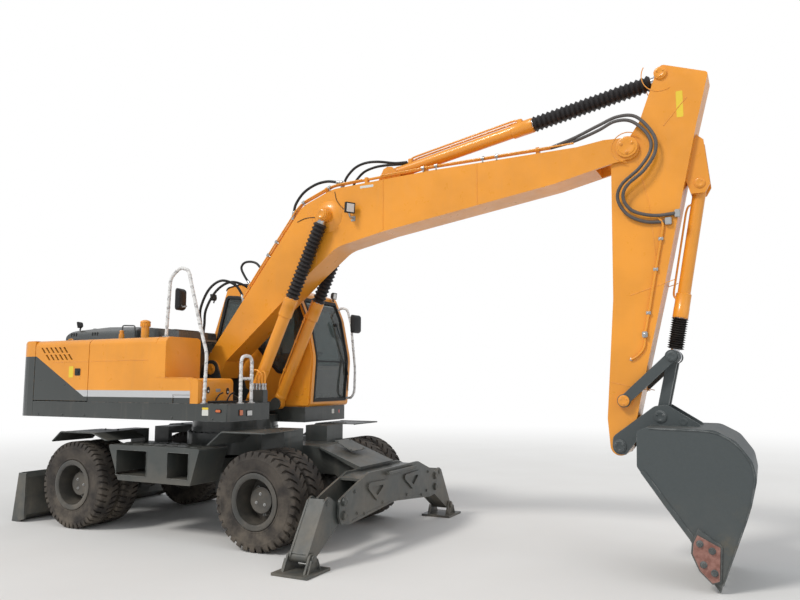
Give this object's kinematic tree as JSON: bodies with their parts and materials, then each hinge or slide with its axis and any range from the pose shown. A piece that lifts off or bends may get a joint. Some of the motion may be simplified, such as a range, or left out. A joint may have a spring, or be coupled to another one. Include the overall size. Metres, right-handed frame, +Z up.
{
  "type": "wheeled excavator",
  "caption": "Wheeled excavator with twin tyres, dozer blade, outriggers, slewing upper structure with cab, one-piece boom, arm and bucket; all of them move.",
  "frame": {"origin": "bottom centre of the bounding box, on the ground under the machine", "axes": "+X towards the boom, +Y to the left of the machine, +Z up"},
  "size_m": [8.8249, 3.7, 4.8884],
  "materials": {
    "yellow_paint": "gloss",
    "charcoal_paint": "satin",
    "dark_metal": "satin",
    "rubber": "matte",
    "bellows": "matte",
    "rod_chrome": "gloss",
    "rail_white": "satin",
    "window_glass": "gloss",
    "seat_dark": "matte"
  },
  "bodies": {
    "undercarriage": {"chassis": "charcoal_paint", "mudguards": "charcoal_paint", "step_boxes": "charcoal_paint", "rigid_axle": "dark_metal", "steer_axle": "dark_metal", "driveline": "dark_metal", "outrigger_beam": "charcoal_paint"},
    "knuckle_left": {"knuckle_l": "dark_metal"},
    "knuckle_right": {"knuckle_r": "dark_metal"},
    "track_rod": {"track_rod": "dark_metal"},
    "wheels_steer_left": {"tyres_steer_l": "rubber", "wheels_steer_l": "charcoal_paint"},
    "wheels_steer_right": {"tyres_steer_r": "rubber", "wheels_steer_r": "charcoal_paint"},
    "wheels_rigid_left": {"tyres_rigid_l": "rubber", "wheels_rigid_l": "charcoal_paint"},
    "wheels_rigid_right": {"tyres_rigid_r": "rubber", "wheels_rigid_r": "charcoal_paint"},
    "blade_arms": {"blade_arms": "charcoal_paint"},
    "blade_links": {"blade_links": "charcoal_paint"},
    "blade": {"blade": "charcoal_paint"},
    "blade_rams": {"blade_ram_barrels": "charcoal_paint"},
    "blade_ram_rods": {"blade_ram_rods": "rod_chrome"},
    "leg_left": {"leg_l": "charcoal_paint"},
    "leg_right": {"leg_r": "charcoal_paint"},
    "foot_left": {"foot_l": "charcoal_paint"},
    "foot_right": {"foot_r": "charcoal_paint"},
    "upper": {"platform": "dark_metal", "counterweight": "charcoal_paint", "engine": "dark_metal", "tank_cover": "yellow_paint", "toolbox": "yellow_paint", "top_deck": "charcoal_paint", "stacks": "yellow_paint", "cab": "yellow_paint", "cab_glass": "window_glass", "seat": "seat_dark", "handrails": "rail_white"},
    "pump_door": {"pump_door": "yellow_paint"},
    "radiator_door": {"radiator_door": "yellow_paint"},
    "hood": {"hood": "charcoal_paint"},
    "cab_door": {"cab_door": "yellow_paint", "cab_door_glass": "window_glass"},
    "boom": {"boom": "yellow_paint", "boom_pipes": "yellow_paint"},
    "boom_rams": {"boom_ram_barrels": "yellow_paint", "boom_ram_bellows": "bellows"},
    "boom_ram_rods": {"boom_ram_rods": "rod_chrome"},
    "arm": {"arm": "yellow_paint"},
    "arm_ram": {"arm_ram_barrel": "yellow_paint", "arm_ram_bellows": "bellows"},
    "arm_ram_rod": {"arm_ram_rod": "rod_chrome"},
    "guide_links": {"guide_links": "charcoal_paint"},
    "bucket_link": {"bucket_link": "charcoal_paint"},
    "bucket_ram": {"bucket_ram_barrel": "yellow_paint", "bucket_ram_bellows": "bellows"},
    "bucket_ram_rod": {"bucket_ram_rod": "rod_chrome"},
    "bucket": {"bucket": "charcoal_paint"}
  },
  "joints": [
    {"name": "slew", "type": "hinge", "parent": "undercarriage", "child": "upper", "pos_m": [-1.66245, 0, 1.218], "axis": [0, 0, 1], "continuous": true},
    {"name": "boom_lift", "type": "hinge", "parent": "upper", "child": "boom", "pos_m": [-1.81245, -0.1, 1.945], "axis": [0, -1, 0], "range_deg": [-54.2, 45.2]},
    {"name": "boom_ram_swing", "type": "hinge", "parent": "upper", "child": "boom_rams", "pos_m": [-1.12245, -0.1, 1.5], "axis": [0, -1, 0], "range_deg": [-55.48, 46.35]},
    {"name": "boom_ram_slide", "type": "slide", "parent": "boom_rams", "child": "boom_ram_rods", "axis": [0.4179, 0, 0.9085], "range_m": [-0.7231, 0.6035], "deforming": ["boom_ram_bellows"]},
    {"name": "arm_swing", "type": "hinge", "parent": "boom", "child": "arm", "pos_m": [3.41123, -0.1, 4.09805], "axis": [0, 1, 0], "range_deg": [-86, 29.3]},
    {"name": "arm_ram_swing", "type": "hinge", "parent": "boom", "child": "arm_ram", "pos_m": [0.68755, -0.1, 4.225], "axis": [0, -1, 0], "range_deg": [-1.2, 2.55]},
    {"name": "arm_ram_slide", "type": "slide", "parent": "arm_ram", "child": "arm_ram_rod", "axis": [0.9824, 0, 0.1868], "range_m": [-1.0866, 0.3722], "deforming": ["arm_ram_bellows"]},
    {"name": "bucket_curl", "type": "hinge", "parent": "arm", "child": "bucket", "pos_m": [3.24245, -0.1, 1.17091], "axis": [0, 1, 0], "range_deg": [0, 165]},
    {"name": "guide_swing", "type": "hinge", "parent": "arm", "child": "guide_links", "pos_m": [3.30045, -0.1, 1.60291], "axis": [0, 1, 0], "range_deg": [-0.5, 127.48]},
    {"name": "bucket_link_swing", "type": "hinge", "parent": "bucket", "child": "bucket_link", "pos_m": [3.62145, -0.1, 1.45891], "axis": [0, -1, 0], "range_deg": [-0.5, 122.93]},
    {"name": "bucket_ram_swing", "type": "hinge", "parent": "arm", "child": "bucket_ram", "pos_m": [4.05523, -0.1, 3.67405], "axis": [0, -1, 0], "range_deg": [-0.5, 4.48]},
    {"name": "bucket_ram_slide", "type": "slide", "parent": "bucket_ram", "child": "bucket_ram_rod", "axis": [-0.1826, 0, -0.9832], "range_m": [-0.003, 1.1892], "deforming": ["bucket_ram_bellows"]},
    {"name": "steering", "type": "hinge", "parent": "undercarriage", "child": "knuckle_left", "pos_m": [-3.16245, 0.56, 0.525], "axis": [0, 0, 1], "range_deg": [-25, 25]},
    {"name": "steering_right", "type": "hinge", "parent": "undercarriage", "child": "knuckle_right", "pos_m": [-3.16245, -0.56, 0.525], "axis": [0, 0, 1], "range_deg": [-25, 25]},
    {"name": "track_rod_slide", "type": "slide", "parent": "undercarriage", "child": "track_rod", "axis": [0, 1, 0], "range_m": [-0.11, 0.11]},
    {"name": "roll_steer_left", "type": "hinge", "parent": "knuckle_left", "child": "wheels_steer_left", "pos_m": [-3.16245, 0.951, 0.525], "axis": [0, 1, 0], "continuous": true},
    {"name": "roll_steer_right", "type": "hinge", "parent": "knuckle_right", "child": "wheels_steer_right", "pos_m": [-3.16245, -0.951, 0.525], "axis": [0, 1, 0], "continuous": true},
    {"name": "roll_rigid_left", "type": "hinge", "parent": "undercarriage", "child": "wheels_rigid_left", "pos_m": [-0.36245, 0.951, 0.525], "axis": [0, 1, 0], "continuous": true},
    {"name": "roll_rigid_right", "type": "hinge", "parent": "undercarriage", "child": "wheels_rigid_right", "pos_m": [-0.36245, -0.951, 0.525], "axis": [0, 1, 0], "continuous": true},
    {"name": "blade_lift", "type": "hinge", "parent": "undercarriage", "child": "blade_arms", "pos_m": [-3.62245, 0, 0.56], "axis": [0, 1, 0], "range_deg": [-7, 60]},
    {"name": "blade_link_swing", "type": "hinge", "parent": "undercarriage", "child": "blade_links", "pos_m": [-3.62245, 0, 0.76], "axis": [0, 1, 0], "range_deg": [-7.5, 60.5]},
    {"name": "blade_level", "type": "hinge", "parent": "blade_arms", "child": "blade", "pos_m": [-3.99271, 0, 0.30074], "axis": [0, 1, 0], "range_deg": [-60.5, 7.5]},
    {"name": "blade_ram_swing", "type": "hinge", "parent": "undercarriage", "child": "blade_rams", "pos_m": [-3.54245, 0, 0.88], "axis": [0, -1, 0], "range_deg": [-33.43, 4.34]},
    {"name": "blade_ram_slide", "type": "slide", "parent": "blade_rams", "child": "blade_ram_rods", "axis": [-0.5874, 0, -0.8093], "range_m": [-0.1955, 0.0255]},
    {"name": "leg_left", "type": "hinge", "parent": "undercarriage", "child": "leg_left", "pos_m": [0.52755, 1.12, 0.449], "axis": [1, 0, 0], "range_deg": [-8, 100]},
    {"name": "foot_left", "type": "hinge", "parent": "leg_left", "child": "foot_left", "pos_m": [0.52755, 1.65, 0.14], "axis": [1, 0, 0], "range_deg": [-30, 30]},
    {"name": "leg_right", "type": "hinge", "parent": "undercarriage", "child": "leg_right", "pos_m": [0.52755, -1.12, 0.449], "axis": [-1, 0, 0], "range_deg": [-8, 100]},
    {"name": "foot_right", "type": "hinge", "parent": "leg_right", "child": "foot_right", "pos_m": [0.52755, -1.65, 0.14], "axis": [-1, 0, 0], "range_deg": [-30, 30]},
    {"name": "pump_door_swing", "type": "hinge", "parent": "upper", "child": "pump_door", "pos_m": [-3.95745, -1.226, 1.9], "axis": [0, 0, -1], "range_deg": [0, 110]},
    {"name": "radiator_door_swing", "type": "hinge", "parent": "upper", "child": "radiator_door", "pos_m": [-3.95745, 1.226, 1.9], "axis": [0, 0, 1], "range_deg": [0, 110]},
    {"name": "hood_lift", "type": "hinge", "parent": "upper", "child": "hood", "pos_m": [-3.85245, 0, 2.322], "axis": [0, -1, 0], "range_deg": [0, 70]},
    {"name": "cab_door_swing", "type": "hinge", "parent": "upper", "child": "cab_door", "pos_m": [-1.51845, 1.226, 2.2], "axis": [0, 0, 1], "range_deg": [0, 110]}
  ],
  "couplings": [
    {"joint": "boom_ram_swing", "follows": "boom_lift", "ratio": 1.0145},
    {"joint": "boom_ram_slide", "follows": "boom_lift", "m_per_rad": 0.76123},
    {"joint": "arm_ram_swing", "follows": "arm_swing", "ratio": -0.023843},
    {"joint": "arm_ram_slide", "follows": "arm_swing", "m_per_rad": 0.72195},
    {"joint": "guide_swing", "follows": "bucket_curl", "ratio": 0.76955},
    {"joint": "bucket_link_swing", "follows": "bucket_curl", "ratio": 0.74202},
    {"joint": "bucket_ram_swing", "follows": "bucket_curl", "ratio": 0.024111},
    {"joint": "bucket_ram_slide", "follows": "bucket_curl", "m_per_rad": 0.41191},
    {"joint": "steering_right", "follows": "steering", "ratio": 1},
    {"joint": "track_rod_slide", "follows": "steering", "m_per_rad": -0.24214},
    {"joint": "blade_link_swing", "follows": "blade_lift", "ratio": 1},
    {"joint": "blade_level", "follows": "blade_lift", "ratio": -1},
    {"joint": "blade_ram_swing", "follows": "blade_lift", "ratio": -0.54885},
    {"joint": "blade_ram_slide", "follows": "blade_lift", "m_per_rad": -0.18379}
  ]
}
